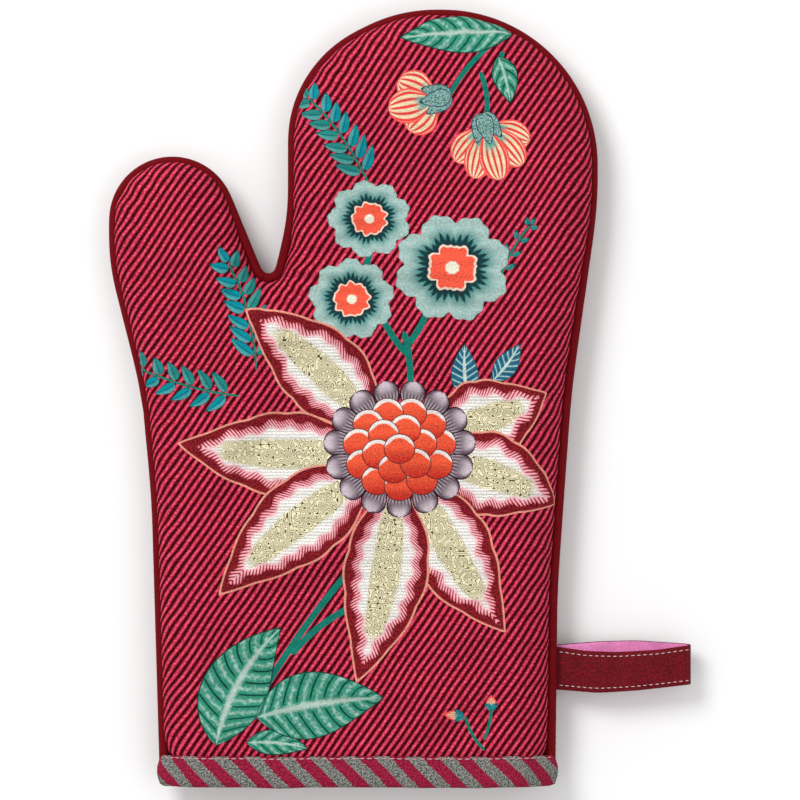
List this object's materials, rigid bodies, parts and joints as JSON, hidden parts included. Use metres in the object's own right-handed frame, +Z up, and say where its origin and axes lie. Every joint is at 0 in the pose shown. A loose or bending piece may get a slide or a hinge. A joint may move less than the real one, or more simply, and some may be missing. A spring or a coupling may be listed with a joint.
{
  "type": "oven mitt",
  "caption": "Padded oven mitt with a separate thumb, corded seam, bound mouth and a tape loop to hang it by.",
  "frame": {"origin": "on the surface that the mitt lies on, under the middle of its whole box, the loop included", "axes": "+Z up out of the printed front, +Y from the cuff to the fingertips, +X towards the hanging loop, away from the thumb"},
  "size_m": [0.2328, 0.3106, 0.026],
  "materials": {
    "printed_canvas": "printed cotton canvas, diagonal stripes and flowers",
    "striped_canvas": "printed cotton canvas, diagonal stripes",
    "wadding": "needled polyester wadding",
    "lining": "plain cotton lining",
    "piping": "bias-cut cotton twill",
    "cord": "twisted cotton cord",
    "red_thread": "sewing thread",
    "binding": "striped cotton tape",
    "pale_thread": "sewing thread",
    "tape": "woven satin tape",
    "tape_lining": "woven cotton tape"
  },
  "bodies": {
    "palm": {"cuff_binding": "binding", "cuff_stitching": "pale_thread", "loop_tail": "tape", "palm_back_lining": "lining", "palm_back_shell": "striped_canvas", "palm_back_wadding": "wadding", "palm_front_lining": "lining", "palm_front_shell": "printed_canvas", "palm_front_wadding": "wadding", "palm_piping_cord": "cord", "palm_piping_cover": "piping", "palm_seam_thread": "red_thread"},
    "fingers": {"fingers_back_lining": "lining", "fingers_back_shell": "striped_canvas", "fingers_back_wadding": "wadding", "fingers_front_lining": "lining", "fingers_front_shell": "printed_canvas", "fingers_front_wadding": "wadding", "fingers_piping_cord": "cord", "fingers_piping_cover": "piping", "fingers_seam_thread": "red_thread"},
    "thumb": {"thumb_back_lining": "lining", "thumb_back_shell": "striped_canvas", "thumb_back_wadding": "wadding", "thumb_front_lining": "lining", "thumb_front_shell": "printed_canvas", "thumb_front_wadding": "wadding", "thumb_piping_cord": "cord", "thumb_piping_cover": "piping", "thumb_seam_thread": "red_thread"},
    "hanging_loop": {"loop_lining": "tape_lining", "loop_stitching": "pale_thread", "loop_tape": "tape"}
  },
  "joints": [
    {"name": "knuckle_fold", "type": "hinge", "parent": "palm", "child": "fingers", "pos_m": [0.01715, 0.0687, 0.026], "axis": [1, 0, 0], "range_deg": [0, 75]},
    {"name": "thumb_fold", "type": "hinge", "parent": "palm", "child": "thumb", "pos_m": [-0.05235, 0.0497, 0.026], "axis": [0.6428, 0.766, 0], "range_deg": [0, 60]},
    {"name": "loop_swing", "type": "hinge", "parent": "palm", "child": "hanging_loop", "pos_m": [0.06405, -0.1083, 0.0094], "axis": [0, -1, 0], "range_deg": [-5, 85]}
  ]
}
